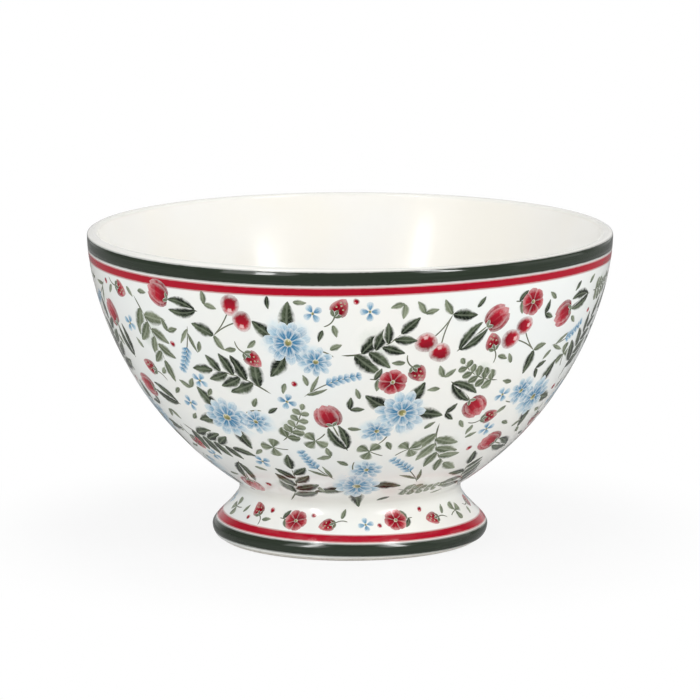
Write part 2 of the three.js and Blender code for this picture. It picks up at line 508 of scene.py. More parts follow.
# band colour: streaked along the turn, with a short fade and a faint halo into the white at its edges,
# and rounded there like a bead of enamel
def bandColour(name):
    plan = bandInks
    deep, thin, haze, bead, gloss = plan[name]
    bleed = plan["bleed"]
    material, tree, shader, skin, (turn, distance, toEdge) = paintOn(name, Gloss=gloss)
    streakPlace = addNode(tree, "CombineXYZ", X=turn, Y=distance).outputs[0]
    streak = span(noise(streakPlace, 1.0, 3, 0.6), *plan["streaks"], 0.0, plan["streakShare"])
    streaky = mixed(streak, ink(deep), ink(thin))
    ragged = times(uneven(tree, plan["raggedScale"]), plan["ragged"] * bleed)
    halo = span(toEdge, -bleed, plan["haloFull"] * bleed, 0.0, haze)
    cover = larger(span(plus(toEdge, ragged), plan["fadeFrom"] * bleed, 0.0), halo)
    ripple = overWhite(shader, skin, cover, streaky, mirror=plan["mirror"])
    feed(shader, Normal=bumped(span(toEdge, *plan["beadEdge"]), 1.0, bead, Normal=ripple))
    return material


def dress(piece, slotName, material, *nodes):
    piece.data.materials.append(material)
    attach(piece, "root")
    if nodes:
        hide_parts(*nodes)


glaze, hem = bowlForm["glaze"], bowlForm["footGlazeEnd"]
whiteOutside = whiteGlaze("whiteGlazeOutside")
whiteInside = whiteGlaze("whiteGlazeInside")
bareClay = firedClay("bareClay")
firedSlip = firedClay("firedSlip")

footCoat = cutLine(footLine(), hem), cutLine(footLine(glaze), hem - bowlForm["hemSlope"])
for name, outer, inner, ring, material, node in (
    ("insideGlaze", insideLine(), insideLine(glaze, steps["back"]), False, whiteInside, "inside_glaze"),
    ("outsideGlaze", outsideLine(), outsideLine(glaze, steps["back"]), True, whiteOutside, "outside_glaze"),
    ("footGlaze", *footCoat, True, whiteOutside, "foot_glaze"),
    ("baseGlaze", recessLine(glaze), recessLine(), False, whiteOutside, "base_glaze"),
):
    dress(turned(name, np.vstack([outer, inner[::-1]]), ring), "white_glaze", material, node)

footInside = recessLine(glaze)
footInside = footInside[footInside[:, 1] < jointHeight - bowlForm["seam"]]
bearingEdge = [[bearingInner + bowlForm["bearingRound"], 0.0], [bearingInner, bowlForm["bearingRound"]]]
footTop = [[footInside[0, 0], jointHeight]]
dress(turned("footClay", np.vstack([footLine(glaze), bearingEdge, footInside[::-1], footTop])),
      "clay", bareClay, "foot")
for node, material in (("bowl_wall", bareClay), ("luting_slip", firedSlip)):
    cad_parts[node].data.materials.clear()
    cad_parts[node].data.materials.append(material)
print("bowl and foot turned")


# the whole outside as one skin, lip to bearing ring, for what is painted on it
wallLine = outsideLine(wallCount=steps["skin"])
outerSkin = skinOf(joined(wallLine, footLine()))
jointAt = skinOf(wallLine)[-1, 0]


# spot on the skin at turn a and distance s from the crest, lifted along the normal; and that normal
def onSkin(a, s, lift):
    r, z, nr, nz = (np.interp(s, outerSkin[:, 0], outerSkin[:, k]) for k in (1, 2, 3, 4))
    normal = around(a, nr, nz)
    return around(a, r, z) + normal * np.asarray(lift)[..., None], normal


def radiusAt(s):
    return np.interp(s, outerSkin[:, 0], outerSkin[:, 1])


bandPlan = {
    "lift": 0.03,  # how far the fired colour stands up
    "sink": 0.12,  # how far its underside lies in the glaze
    "across": 31,
    "around": 360,
    "flatness": 6,  # of the top of its section
    "waves": 7,  # slow waves of its edges, from the second round the bowl
    "streakTurn": 6,  # how far the streaks change along the turn and across the band
    "streakAcross": 2.5,
    # start, width, wobble of the edges, tilt, skew
    "rimBand": (1.65, 3.0, 0.06, 0.0, -0.45),
    "rimLine": (5.6, 1.5, 0.05, 0.0, -0.55),
    "footLine": (8.2, 1.6, 0.06, 0.5, 0.0),
    "footBand": (10.75, 2.85, 0.05, 0.5, 0.0),
}


# painted ring: distance = start + v width + tilt sin a + skew sin 2a + slow waves, with a margin
# where it runs out; its section is a flat-topped loop
def paintedRing(name, origin):
    rng = np.random.default_rng(len(name))
    start, width, wobble, tilt, skew = bandPlan[name]
    m, bleed, waves = bandPlan["across"], bandInks["bleed"], bandPlan["waves"]
    a = np.arange(bandPlan["around"]) * 2 * math.pi / bandPlan["around"]
    order = np.arange(waves) + 2
    swell = np.cos(order[:, None] * a + rng.uniform(0, 2 * math.pi, (waves, 1)))
    upper, lower = (wobble * (rng.uniform(0.3, 1, waves) / order) @ swell for _ in range(2))
    v = np.linspace(0, 1, m)
    top = bandPlan["lift"] * (1 - np.abs(2 * v - 1) ** bandPlan["flatness"])
    loopV = np.concatenate([v, v[::-1]])[:, None]
    lift = np.concatenate([top, np.full(m, -bandPlan["sink"])])[:, None]
    full = width + 2 * bleed + lower - upper
    slip = tilt * np.sin(a) + skew * np.sin(2 * a)
    s = origin + start - bleed + slip + upper + loopV * full
    points, _ = onSkin(a + 0 * s, s, lift + 0 * s)
    toEdge = np.minimum(loopV, 1 - loopV) * full - bleed
    streaks = bandPlan["streakTurn"] * np.cos(a) + 0 * s, bandPlan["streakAcross"] * s
    return shells(name, points[None], stroke=np.stack([*streaks, toEdge], -1))


greenBand, greenFoot, redLine = (bandColour(name) for name in ("greenBand", "greenFoot", "redLine"))
for name, origin, material, slotName, node in (
    ("rimBand", 0.0, greenBand, "green_colour", "rim_band"),
    ("rimLine", 0.0, redLine, "red_colour", "rim_line"),
    ("footLine", jointAt, redLine, "red_colour", "foot_line"),
    ("footBand", jointAt, greenFoot, "green_colour", "foot_band"),
):
    dress(paintedRing(name, origin), slotName, material, node)
print("bands painted")


# flower print: each motif is a list of strokes in its own plane, in millimetres, y up the wall
printPlan = {
    "seed": 41,
    "wall": (7.5, 78.6),  # first and last distance from the crest, on the wall and on the foot
    "foot": (80.0, 86.9),
    "lift": 0.015,
    "step": 0.004,  # each layer of strokes lies this much higher
    "sink": 0.12,
    "grow": 1.22,  # size of the motifs on the wall
    "spread": 1.12,  # strokes run this much wider, because their edges fade
    "drop": (1.0, 1.25),  # more motifs near the lip, where the wall is wider
    "straight": 1e-4,  # least bend of a path
    "rimWaves": (0.05, 0.035),  # twofold and threefold, of a disc
    "glintTurn": 2.2,  # side of a disc that the painted light falls on
}
strokes = {}
taken = {"spots": np.zeros((0, 3)), "radii": np.zeros(0)}  # discs of the motifs so far
chance = np.random.default_rng(printPlan["seed"])
draw = chance.uniform
up = math.pi / 2  # heading up the wall


# path of even curvature: the heading turns by bend over its length; place and heading at t
def curvedPath(x, y, angle, length, bend, t):
    least = printPlan["straight"]
    bend = np.where(np.abs(bend) < least, least, bend)
    heading = angle + bend * t
    px = x + length * (np.sin(heading) - np.sin(angle)) / bend
    py = y - length * (np.cos(heading) - np.cos(angle)) / bend
    return px, py, heading


# stroke: kind, x, y, angle, length, width, bend, belly, point, tone, layer
# its half width is width / 2 * sin(pi t^belly)^point
def blade(kind, at, angle, length, width, bend, belly, point, tone, layer):
    return (kind, *at, angle, length, width, bend, belly, point, tone, layer)


def leaf(kind, at, angle, length, width, layer):
    bend, tone = draw(-0.45, 0.45), draw(-0.12, 0.2)
    return blade(kind, at, angle, length, width, bend, 0.82, 0.85, tone, layer)


def petal(kind, at, angle, length, width, tone, layer, belly=1.65, bend=0.0):
    return blade(kind, at, angle, length, width, bend, belly, 0.55, tone, layer)


def stem(at, angle, length, bend, width=0.3):
    return blade("stem", at, angle, length, width, bend, 0.5, 0.12, 0.0, 1)


def spot(kind, at, radius, layer, tone=0.0):
    return (kind, *at, 0.0, radius, radius, 0.0, 1.0, 1.0, tone, layer)


# middle line of a sprig that stands upright on the whole: foot, heading, length and bend; its length
def sprigLine(lengths, bends, drop=0.0):
    length, bend = draw(*lengths), chance.choice([-1, 1]) * draw(*bends)
    return ((0.0, -length / 2 - drop), up - bend / 2, length, bend), length


# place and heading at a share of such a line
def along(line, t):
    at, angle, length, bend = line
    x, y, heading = curvedPath(*at, angle, length, np.float64(bend), t)
    return (float(x), float(y)), float(heading)


def toward(at, angle, reach):
    return (at[0] + reach * math.cos(angle), at[1] + reach * math.sin(angle))


# kinds of stroke in the motifs; each motif gives its strokes and the discs that it covers
dark, sage, blue, red = "leafDark", "leafSage", "petalBlue", "petalRed"


def laurelSprig():
    kind = dark if chance.random() < 0.65 else sage
    line, length = sprigLine((12.5, 15.0), (0.4, 0.9), 1)
    out = [stem(*line, 0.36), spot("haze", (0, 0), 5.0, 0)]
    for k in range(7):
        at, heading = along(line, 0.2 + 0.11 * k)
        size = draw(6.3, 7.2) * (1.0 - 0.055 * k)
        lean = (1 if k % 2 else -1) * draw(0.72, 0.98)
        out.append(leaf(kind, at, heading + lean, size, size * 0.47, 2 + 0.4 * k))
    out.append(leaf(kind, *along(line, 1.0), 5.2, 2.4, 5))
    return out, [(0, -length * 0.34, 3.2), (0, -0.4, 4.7), (0, length * 0.28, 4.2), (0, length * 0.58, 2.4)]


def daisyHead(at, radius, count, layer):
    out = [spot("wash", toward(at, draw(0, 6), 0.8), radius * 1.4, 0)]
    turn = draw(0, 6.28)
    for ring, (share, wide, tone) in enumerate(((1.0, 0.4, 0.12), (0.64, 0.34, -0.2))):
        number = count - 2 * ring
        for k in range(number):
            angle = turn + 0.3 * ring + k * 2 * math.pi / number + draw(-0.1, 0.1)
            size = radius * share * draw(0.86, 1.06)
            height = layer + 3 * ring + (2 if k == number - 1 and number % 2 else k % 2)
            out.append(petal(blue, toward(at, angle, radius * 0.1), angle, size, radius * wide,
                             tone + draw(-0.2, 0.2), height, bend=draw(-0.2, 0.2)))
    return out + [spot("eye", at, radius * 0.19, layer + 6)]


def daisyPair():
    out = []
    for k, (angle, size) in enumerate(((2.6, 6.6), (3.7, 6.0), (-0.9, 6.4))):
        at = toward((-0.6, 0), angle, 2.6)
        out.append(leaf(dark, at, angle, size, size * 0.5, 2 + 0.5 * k))
    out += [stem((3.2, 4.0), 1.0, 4.0, -0.7), leaf(sage, (4.6, 6.6), 1.6, 2.8, 1.4, 3)]
    out += daisyHead((-0.8, 0.2), draw(4.6, 5.2), 11, 4)
    out += daisyHead((5.4, 2.6), draw(3.0, 3.4), 9, 8)
    leaves = [(-6.2, 1.4, 2.6), (-5.2, -2.8, 2.2), (3.4, -4.6, 2.4), (4.6, 7.2, 1.8)]
    return out, [(-1, 0, 5.3), (5.4, 2.6, 3.5)] + leaves


def daisySingle():
    out = [stem((0.2, -6.4), 1.5, 5.2, 0.25), leaf(sage, (0.3, -4.4), 0.5, 3.6, 1.6, 2),
           leaf(dark, (0.3, -5.0), 2.5, 4.2, 2.0, 3)]
    out += daisyHead((0, 0.8), draw(3.5, 4.0), 10, 4)
    return out, [(0, 0.9, 4.1), (0, -4.6, 2.9)]


def tulip():
    line = (0.0, -7.6), up, 8.0, draw(-0.35, 0.35)
    out = [stem(*line, 0.38)]
    at, heading = along(line, 1.0)
    at = toward(at, heading, -0.2)
    for side in (-1, 1):
        tone = draw(-0.1, 0.15)
        out.append(blade(dark, (0.05 * side, -7.0), up + side * 0.5, 7.4, 2.2, side * -0.7, 0.85, 0.8, tone,
                         2.5 + 0.5 * side))
    outer, inner = (5.8, 3.4), (6.0, 3.7)
    for lean, size, tone, layer in ((0.5, outer, -0.15, 4), (-0.5, outer, -0.05, 5), (0, inner, 0.12, 6)):
        out.append(blade(red, at, heading + lean, *size, -lean * 1.1, 0.78, 0.62,
                         tone + draw(-0.08, 0.08), layer))
    out += [leaf(sage, at, heading + lean, 1.6, 0.8, 7) for lean in (-0.75, 0.75)]
    return out, [(0, 3.1, 3.5), (0, -1.8, 2.3), (0, -5.2, 3.0)]


def cherryPair():
    top = (draw(-0.6, 0.6), 4.8)
    out = [leaf(dark, top, 0.35 + draw(-0.2, 0.2), 5.6, 2.7, 2), leaf(sage, top, 2.7, 3.8, 1.7, 3)]
    for side, at in ((1, (-2.1, -2.6)), (-1, (1.8, -3.4))):
        bend = 0.5 * side
        angle = math.atan2(top[1] - at[1], top[0] - at[0]) - bend / 2
        out.append(stem(at, angle, math.dist(top, at) * 1.01, bend, 0.28))
        out.append(spot("berry", at, draw(2.1, 2.35), 4 + side * 0.5, draw(-0.1, 0.1)))
    return out, [(0, -3.0, 4.1), (0.2, 1.6, 1.6), (2.4, 5.6, 2.6), (-2.0, 5.2, 1.9)]


def fernFrond():
    line, length = sprigLine((11.5, 14.5), (0.4, 0.9))
    out = [stem(*line, 0.28), spot("haze", (0, 0), 3.6, 0)]
    for k in range(7):
        t = 0.2 + 0.115 * k
        at, heading = along(line, t)
        size = 3.9 * math.sin(math.pi * (0.3 + 0.62 * t)) + 0.5
        for side in (-1, 1):
            out.append(blade(sage, at, heading + side * draw(0.85, 1.0), size, 1.05,
                             -side * 0.5, 1.15, 0.7, draw(-0.2, 0.2), 2.5 + side * 0.5))
    out.append(leaf(sage, *along(line, 1.0), 2.2, 1.0, 3))
    ends = [(0, length * 0.58, 1.2), (0, -length * 0.48, 0.8)]
    return out, [(0, -length * 0.26, 3.2), (0, 0.4, 3.3), (0, length * 0.33, 2.6)] + ends


def bluebellSprig():
    line = (-3.2, -5.4), up + 0.25, 13.5, -1.9
    out = [stem(*line, 0.32), leaf(sage, (-3.2, -5.0), 2.1, 5.0, 1.5, 2),
           leaf(dark, (-3.1, -5.2), 0.8, 5.4, 2.1, 3), spot("wash", (1.6, 0.4), 4.6, 0)]
    for t, size in ((0.52, 3.5), (0.77, 3.3), (1.0, 2.9)):
        at, _ = along(line, t)
        down = -up + draw(-0.25, 0.25)
        out.append(stem(at, down, 1.0, 0.0, 0.22))
        at = toward(at, down, 0.8)
        for lean, tone, layer in ((0.4, -0.2, 4), (-0.4, -0.05, 5), (0.0, 0.15, 6)):
            tone += draw(-0.1, 0.1)
            out.append(petal(blue, at, down + lean, size, size * 0.5, tone, layer, 0.95, -lean * 1.2))
        out += [leaf(sage, at, down + lean, 1.0, 0.6, 7) for lean in (-0.6, 0.6)]
    return out, [(-2.6, -3.6, 2.7), (-1.6, 1.0, 2.6), (2.2, 2.0, 3.6), (4.8, 0.2, 2.0)]


def lavender():
    line, length = sprigLine((10.5, 13.0), (0.3, 0.8))
    out = [stem(*line, 0.24)]
    for side in (-1, 1):
        at, heading = along(line, 0.1 + 0.04 * side)
        out.append(leaf(sage, at, heading + side * 0.5, 4.6, 1.0, 2.5 + 0.5 * side))
    for k in range(6):
        at, heading = along(line, 0.45 + 0.1 * k)
        for side in (-1, 1):
            out.append(petal(blue, at, heading + side * 0.62, 1.9 - 0.12 * k, 1.05,
                             draw(-0.25, 0.2), 3.5 + 0.5 * side + 0.1 * k))
    return out, [(0, length * 0.26, 2.0), (0, length * 0.46, 1.5), (0, 0, 1.4), (0, -length * 0.3, 2.2)]


def eucalyptus():
    line, length = sprigLine((9.0, 11.0), (0.4, 1.0))
    out = [stem(*line, 0.26), spot("haze", (0, 0), 3.2, 0)]
    for k in range(5):
        at, heading = along(line, 0.16 + 0.18 * k)
        for side in (-1, 1):
            size = (2.9 - 0.25 * k) * draw(0.9, 1.1)
            out.append(blade(sage, at, heading + side * draw(0.9, 1.15), size, size * 0.84,
                             0.0, 1.15, 0.6, draw(-0.3, 0.25), 2.5 + 0.5 * side + 0.1 * k))
    out.append(blade(sage, *along(line, 1.0), 1.8, 1.3, 0.0, 1.1, 0.6, 0.1, 3))
    return out, [(0, -length * 0.3, 2.9), (0, 0, 2.8), (0, length * 0.3, 2.3), (0, length * 0.55, 1.3)]


def redBlossom():
    out = [stem((0, -4.2), up, 3.6, draw(-0.4, 0.4), 0.26),
           leaf(sage, (0, -2.6), 0.4, 2.8, 1.4, 2), leaf(dark, (0, -3.2), 2.7, 3.0, 1.5, 3)]
    turn = draw(0, 6.28)
    for k in range(6):
        angle = turn + k * math.pi / 3
        at = toward((0, 0.6), angle, 0.25)
        out.append(petal(red, at, angle, 2.8, 2.4, draw(-0.15, 0.15), 4 + k % 2))
    return out + [spot("eye", (0, 0.6), 0.5, 6)], [(0, 0.6, 3.0), (0, -2.8, 2.4)]


def cloverLeaf():
    kind = dark if chance.random() < 0.25 else sage
    out = [stem((0, -3.4), up + 0.2, 3.2, -0.4, 0.26)]
    for k in range(3):
        angle, tone = up + (k - 1) * 1.75, draw(-0.1, 0.2)
        out.append(blade(kind, (0, -0.2), angle, 2.8, 2.6, 0.0, 2.0, 0.5, tone, 2 + 0.5 * k))
    return out, [(0, 0, 2.6), (0, -2.4, 1.1)]


def strawberry():
    out = [stem((0, 1.6), up + 0.5, 3.6, -1.3, 0.28), leaf(sage, (-0.8, 3.6), 2.6, 2.8, 1.3, 2),
           blade(red, (0, 1.7), -up, 4.2, 3.3, 0.0, 0.62, 0.62, draw(-0.15, 0.1), 3)]
    for lean in (-1.05, 0.0, 1.05):
        layer = 4 + 0.3 * lean
        out.append(blade(sage, (0, 1.9), -up + lean, 1.7, 0.9, -lean * 0.3, 0.8, 0.8, -0.2, layer))
    seeds = (-0.75, -0.3), (0.7, -0.1), (0.0, -0.8), (-0.3, -1.6), (0.45, -1.3)
    out += [spot("eye", at, 0.19, 6) for at in seeds]
    return out, [(0, -0.2, 2.0), (-0.4, 3.6, 1.7)]


def leafPair():
    kind = sage if chance.random() < 0.6 else dark
    out = [leaf(kind, (0, -0.8), 0.75, 3.0, 1.4, 2), leaf(kind, (0, -0.8), 2.3, 3.2, 1.5, 2.5)]
    return out, [(0, 0.1, 2.2)]


def blueStar():
    out = []
    for k in range(4):
        angle = k * up + 0.3
        at = toward((0, 0), angle, 0.2)
        out.append(petal(blue, at, angle, 1.9, 1.3, draw(-0.1, 0.2), 2 + k % 2, 1.5))
    return out + [spot("eye", (0, 0), 0.36, 4)], [(0, 0, 2.0)]


def singleLeaf():
    kind = sage if chance.random() < 0.7 else dark
    return [leaf(kind, (-1.3, 0), 0.0, 2.8, 1.2, 2)], [(0, 0, 1.35)]


def redDot():
    return [spot("berry", (0, 0), draw(0.62, 0.8), 2)], [(0, 0, 0.9)]


# stroke plane to skin: turned by rot, x along the turn and y up the wall; spots, normals, distances
def onWall(turn, s, rot, x, y, lift=0.0):
    side = x * np.cos(rot) - y * np.sin(rot)
    at = s - x * np.sin(rot) - y * np.cos(rot)
    return *onSkin(turn + side / radiusAt(at), at, lift + 0 * at), at


# motif made larger: places, lengths and widths
def grown(part, grow):
    kind, x, y, angle, length, width, *rest = part
    return (kind, x * grow, y * grow, angle, length * grow, width * grow, *rest)


# motifs are dropped at random and kept where they clear the ones before, and their own kind by far
def scatter(plan, top, end, grow):
    for motif, wanted, tries, gap, apart in plan:
        centres = np.zeros((0, 3))
        for _ in range(tries):
            if len(centres) == wanted:
                break
            parts, discs = motif()
            parts = [grown(part, grow) for part in parts]
            discs = np.array(discs) * grow
            washes = [(part[1], part[2], part[4]) for part in parts if part[0] == "wash"]
            turn, rot = draw(0, 2 * math.pi, 2)
            s = top + (end - top) * chance.beta(*printPlan["drop"])
            x, y, reach = np.array([*discs, *washes]).T
            spots, _, at = onWall(turn, s, rot, x, y)
            if (at - reach).min() < top or (at + reach).max() > end:
                continue
            spots, radii = spots[:len(discs)], reach[:len(discs)]
            if np.linalg.norm(centres - spots[0], axis=-1).min(initial=apart) < apart:
                continue
            space = np.linalg.norm(taken["spots"][:, None] - spots, axis=-1)
            if (space - taken["radii"][:, None] - radii).min(initial=gap) < gap:
                continue
            taken["spots"] = np.vstack([taken["spots"], spots])
            taken["radii"] = np.concatenate([taken["radii"], radii])
            centres = np.vstack([centres, spots[:1]])
            for kind, *numbers in parts:
                strokes.setdefault(kind, []).append((turn, s, rot, *numbers))


wallMotifs = [  # motif, how many, tries, clear space, distance from its own kind
    (laurelSprig, 19, 3000, -0.6, 27),
    (daisyPair, 15, 3000, -0.6, 30),
    (tulip, 26, 3000, -0.5, 18),
    (cherryPair, 28, 3000, -0.5, 17),
    (bluebellSprig, 14, 2500, -0.6, 22),
    (lavender, 15, 2500, -0.5, 22),
    (fernFrond, 36, 3500, -0.7, 13),
    (eucalyptus, 32, 3000, -0.7, 12),
    (daisySingle, 12, 2500, -0.5, 20),
    (redBlossom, 44, 3000, -0.4, 10),
    (strawberry, 30, 2500, -0.4, 10),
    (cloverLeaf, 40, 2500, -0.4, 8),
    (blueStar, 24, 2500, -0.2, 10),
    (leafPair, 100, 4000, -0.4, 4),
    (singleLeaf, 110, 4000, -0.3, 4),
    (redDot, 24, 2500, 0.2, 10),
]
footMotifs = [
    (strawberry, 6, 900, 0.3, 12),
    (redBlossom, 5, 900, 0.3, 14),
    (daisySingle, 5, 900, 0.3, 16),
    (cloverLeaf, 6, 900, 0.3, 10),
    (blueStar, 7, 900, 0.3, 10),
    (leafPair, 12, 900, 0.4, 6),
    (singleLeaf, 10, 900, 0.5, 5),
    (redDot, 8, 600, 0.5, 6),
]

scatter(wallMotifs, *printPlan["wall"], printPlan["grow"])
scatter(footMotifs, *printPlan["foot"], 1.0)
print("print laid out:", {kind: len(rows) for kind, rows in strokes.items()})


# columns of the strokes, to spread over their grids
def columns(rows, first, end):
    return (rows[:, k][:, None, None] for k in range(first, end))


# strokes laid on the wall, each lifted by its layer, with undersides sunk in the glaze: their spots,
# their normals and what the ink reads there
def laidOut(rows, px, py, low, t, v):
    tone, layer = columns(rows, 11, 13)
    lift = np.where(low, -printPlan["sink"], printPlan["lift"] + printPlan["step"] * layer)
    points, normals, _ = onWall(*columns(rows, 0, 3), px, py, lift)
    return points, normals, np.stack(np.broadcast_arrays(t + 0 * px, v, tone), -1)


# blade: rows along the middle line, the loop across the top and back under it
def bladeGrid(rows, count, across, under):
    t = (np.arange(1, count) / count)[None, :, None]
    v = np.concatenate([np.linspace(-1, 1, across), np.linspace(1, -1, under)])[None, None, :]
    low = (np.arange(across + under) >= across)[None, None, :]
    x, y, angle, length, width, bend, belly, point = columns(rows, 3, 11)

    def spread(t, v, low):
        px, py, heading = curvedPath(x, y, angle, length, bend, t)
        swell = np.maximum(np.sin(math.pi * t**belly), 0.0) ** point
        reach = v * width * printPlan["spread"] / 2 * swell
        px, py = px - reach * np.sin(heading), py + reach * np.cos(heading)
        return laidOut(rows, px, py, low, t, v)

    tips = spread(np.array([[[0.0], [1.0]]]), np.zeros((1, 1, 1)), np.zeros((1, 1, 1), bool))
    return spread(t, v, low), tips


# disc: rows out from the middle and back under it, the loop round it, its rim a little uneven
def discGrid(rows, rings, spokes, under):
    t = np.concatenate([np.arange(1, rings + 1) / rings, np.arange(under, 0, -1) / under])
    t = t[None, :, None]
    low = (np.arange(rings + under) >= rings)[None, :, None]
    turn = (np.arange(spokes) * 2 * math.pi / spokes)[None, None, :]
    bowlTurn, _, _, x, y, _, radius = columns(rows, 0, 7)
    phase = 3.1 * x + 1.7 * y + 5 * bowlTurn  # differs from disc to disc
    twoFold, threeFold = printPlan["rimWaves"]

    def spread(t, turn, low):
        rim = 1 + twoFold * np.sin(2 * turn + phase) + threeFold * np.sin(3 * turn + 2 * phase)
        px, py = x + t * radius * rim * np.cos(turn), y + t * radius * rim * np.sin(turn)
        return laidOut(rows, px, py, low, t, np.cos(turn - printPlan["glintTurn"]))

    middles = spread(np.zeros((1, 2, 1)), np.zeros((1, 1, 1)), np.array([[[False], [True]]]))
    return spread(t, turn, low), middles


def strokePiece(name, kind, makeGrid, counts, material, slotName):
    rows = np.array(strokes[kind], float)
    (grid, *facts), (poles, *poleFacts) = makeGrid(rows, *counts)
    each = (len(rows), -1, 3)
    facts = [np.concatenate([a.reshape(each), b.reshape(each)], 1) for a, b in zip(facts, poleFacts)]
    dress(shells(name, grid, poles.reshape(each), *facts), slotName, material)


inkPlan = {  # colours deep, pale and of the lines, share of the lines, grain, cover at the edge
    "leafDark": ((20, 30, 19), (112, 124, 98), (150, 160, 136), 0.35, 1.6, 0.12),
    "leafSage": ((88, 98, 74), (164, 172, 146), (190, 196, 174), 0.3, 1.3, 0.12),
    "stemLine": ((80, 84, 62), (132, 134, 106), (150, 150, 124), 0.2, 1.0, 0.5),
    "petalBlue": ((66, 126, 164), (170, 202, 218), (220, 234, 240), 0.4, 1.2, 0.3),
    "petalRed": ((124, 2, 24), (194, 24, 48), (226, 120, 130), 0.18, 1.2, 0.65),
}
leafPlan = {
    "midrib": (0.05, 0.2),  # where it thins and ends, from the middle line
    "sideVeins": 7.0, "slant": 1.6, "veinWidth": 0.13, "veinShare": 0.6,
    "shading": (0.35, 0.28),  # along and across
}
petalPlan = {
    "streaks": 1.7, "streakWidth": 0.22,
    "streakFrom": (0.15, 0.6),  # where they begin and are full, along it
    "shading": (0.75, 0.2),
}
berryPlan = {
    # colours deep, pale and of the glint
    "berryRed": ((120, 2, 24), (194, 18, 44), (244, 206, 204)),
    "flowerEye": ((84, 92, 52), (196, 186, 120), (240, 236, 206)),
    "thin": 0.3,
    "light": 0.42, "lightLean": 0.55,  # in the middle, and its change towards the lit side
    "rim": (0.78, 1.0), "rimShare": 0.6,
    "glintAt": 0.5, "glintReach": (0.1, 0.22),  # between middle and rim
    "glintSide": (0.86, 0.98), "glintShare": 0.8,
}
washPlan = {
    "blueWash": (176, 212, 228), "sageHaze": (200, 210, 196), "cover": 0.62,
    "thins": (0.1, 0.95), "fade": (0.6, 1.0),  # between middle and rim
    "raggedScale": 340, "ragged": 0.9,
}


# brush colour under lines of a paler one, thin at the edges of the stroke
def brushedOver(name, paint, reach, lean, lines, outward):
    tree, shader, skin, (t, v, tone) = paint
    deep, pale, line, lineShare, grain, thin = inkPlan[name]
    brush = useGroup(tree, brushWork, Deep=ink(deep), Pale=ink(pale), Along=t, Across=v, Tone=tone,
                     Reach=reach, Lean=lean, Grain=grain)
    lined = mixed(times(lines, lineShare), brush.outputs["Colour"], ink(line))
    cover = useGroup(tree, softEdge, Outward=outward, Thin=thin).outputs["Cover"]
    overWhite(shader, skin, cover, lined)


# leaf: brush colour with a pale midrib and slanting side veins
def leafInk(name):
    plan = leafPlan
    material, *paint = paintOn(name)
    t, v, _ = paint[-1]
    outward = absolute(v)
    midrib = span(outward, *plan["midrib"], 1.0, 0.0)
    slant = minus(times(t, plan["sideVeins"]), times(outward, plan["slant"]))
    sideVein = span(zigzag(slant, 0.5), 0.0, plan["veinWidth"], plan["veinShare"], 0.0)
    brushedOver(name, paint, *plan["shading"], larger(midrib, sideVein), outward)
    return material


# petal: deep at the heart, paler at the tip, with fine streaks along it
def petalInk(name):
    plan = petalPlan
    material, *paint = paintOn(name)
    t, v, _ = paint[-1]
    across = zigzag(times(v, plan["streaks"]), 0.5)
    streaks = times(span(across, 0.0, plan["streakWidth"], 1.0, 0.0), span(t, *plan["streakFrom"]))
    brushedOver(name, paint, *plan["shading"], streaks, larger(absolute(v), t))
    return material


# berry: round shading towards one side, a dark rim and a pale glint of paint
def berryInk(name):
    plan = berryPlan
    deep, pale, glint = (ink(colour) for colour in plan[name])
    material, tree, shader, skin, (t, lean, tone) = paintOn(name)
    light = plus(plus(times(times(t, lean), plan["lightLean"]), plan["light"]), tone, True)
    body = mixed(span(t, *plan["rim"], 0.0, plan["rimShare"]), mixed(light, deep, pale), deep)
    ring = span(absolute(minus(t, plan["glintAt"])), *plan["glintReach"], plan["glintShare"], 0.0)
    lit = mixed(times(span(lean, *plan["glintSide"]), ring), body, glint)
    cover = useGroup(tree, softEdge, Outward=t, Thin=plan["thin"]).outputs["Cover"]
    overWhite(shader, skin, cover, lit)
    return material


# stain of thin colour that fades into the white of the glaze
def washInk(name):
    plan = washPlan
    material, tree, shader, skin, (t, _, _) = paintOn(name)
    ragged = plus(t, times(uneven(tree, plan["raggedScale"], 3, 0.6), plan["ragged"]))
    fade = span(t, *plan["fade"], 1.0, 0.0)
    cover = times(span(ragged, *plan["thins"], plan["cover"], 0.0), fade)
    overWhite(shader, skin, cover, ink(plan[name]))
    return material


# counts along, across and under a blade; rings, spokes and rings under a disc
for name, kind, makeGrid, counts, makeInk, inkName, slotName in (
    ("printWash", "wash", discGrid, (6, 28, 6), washInk, "blueWash", "white_glaze"),
    ("printHaze", "haze", discGrid, (5, 24, 4), washInk, "sageHaze", "white_glaze"),
    ("printStems", "stem", bladeGrid, (10, 3, 2), leafInk, "stemLine", "green_colour"),
    ("printDarkLeaves", "leafDark", bladeGrid, (10, 7, 3), leafInk, "leafDark", "green_colour"),
    ("printSageLeaves", "leafSage", bladeGrid, (8, 5, 3), leafInk, "leafSage", "green_colour"),
    ("printBluePetals", "petalBlue", bladeGrid, (8, 5, 3), petalInk, "petalBlue", "white_glaze"),
    ("printRedPetals", "petalRed", bladeGrid, (8, 5, 3), petalInk, "petalRed", "red_colour"),
    ("printBerries", "berry", discGrid, (4, 18, 2), berryInk, "berryRed", "red_colour"),
    ("printFlowerEyes", "eye", discGrid, (3, 12, 1), berryInk, "flowerEye", "white_glaze"),
):
    strokePiece(name, kind, makeGrid, counts, makeInk(inkName), slotName)
print("print drawn")


# camera, from the lip and foot ellipses of the photograph
cameraPlan = {"distance": 1.279, "height": 0.2706, "pitch": 9.90, "focalPixels": 5147, "imagePixels": 700,
              "sensor": 36, "clip": (0.01, 20)}


